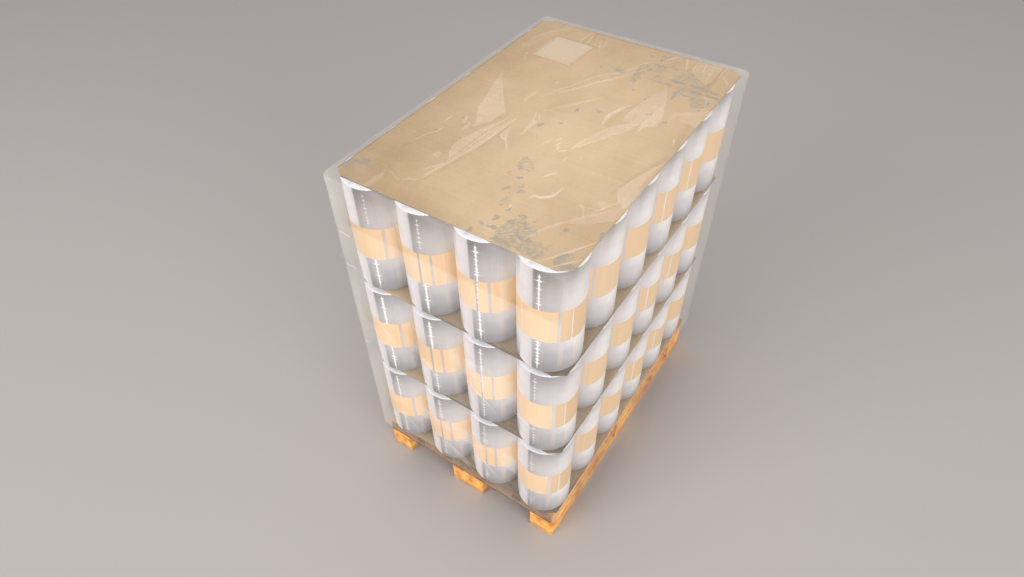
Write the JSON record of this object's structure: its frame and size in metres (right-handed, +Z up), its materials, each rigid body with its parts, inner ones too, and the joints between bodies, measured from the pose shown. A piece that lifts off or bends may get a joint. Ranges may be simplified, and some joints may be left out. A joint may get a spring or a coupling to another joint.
{
  "type": "shrink wrapped pallet load",
  "caption": "Stacked layers of round lidded canisters on a wooden pallet, with kraft board sheets between the layers, under a clear shrink film hood",
  "frame": {"origin": "on the floor, under the middle of the pallet and of the film hood", "axes": "+X along the pallet's 1200 mm side, +Y along its 800 mm side, +Z up"},
  "size_m": [1.248, 0.844, 1.4242],
  "materials": {
    "pine": "sawn, matte",
    "kraft_board": "matte",
    "tinplate": "satin",
    "lid_plastic": "smooth, satin",
    "shrink_film": "clear, glossy, wrinkled",
    "label_paper": "matte"
  },
  "bodies": {
    "root": {"bottom_board_front": "pine", "bottom_board_middle": "pine", "bottom_board_back": "pine", "block_front_left": "pine", "block_front_middle": "pine", "block_front_right": "pine", "block_middle_left": "pine", "block_middle_middle": "pine", "block_middle_right": "pine", "block_back_left": "pine", "block_back_middle": "pine", "block_back_right": "pine", "stringer_board_left": "pine", "stringer_board_middle": "pine", "stringer_board_right": "pine", "deck_board_front": "pine", "deck_board_front_inner": "pine", "deck_board_middle": "pine", "deck_board_back_inner": "pine", "deck_board_back": "pine", "base_sheet": "kraft_board", "layer_sheet_1": "kraft_board", "layer_sheet_2": "kraft_board", "top_sheet": "kraft_board", "canisters_layer_1": "tinplate", "lids_layer_1": "lid_plastic", "canisters_layer_2": "tinplate", "lids_layer_2": "lid_plastic", "canisters_layer_3": "tinplate", "lids_layer_3": "lid_plastic", "film_hood": "shrink_film", "delivery_label": "label_paper"}
  },
  "joints": []
}
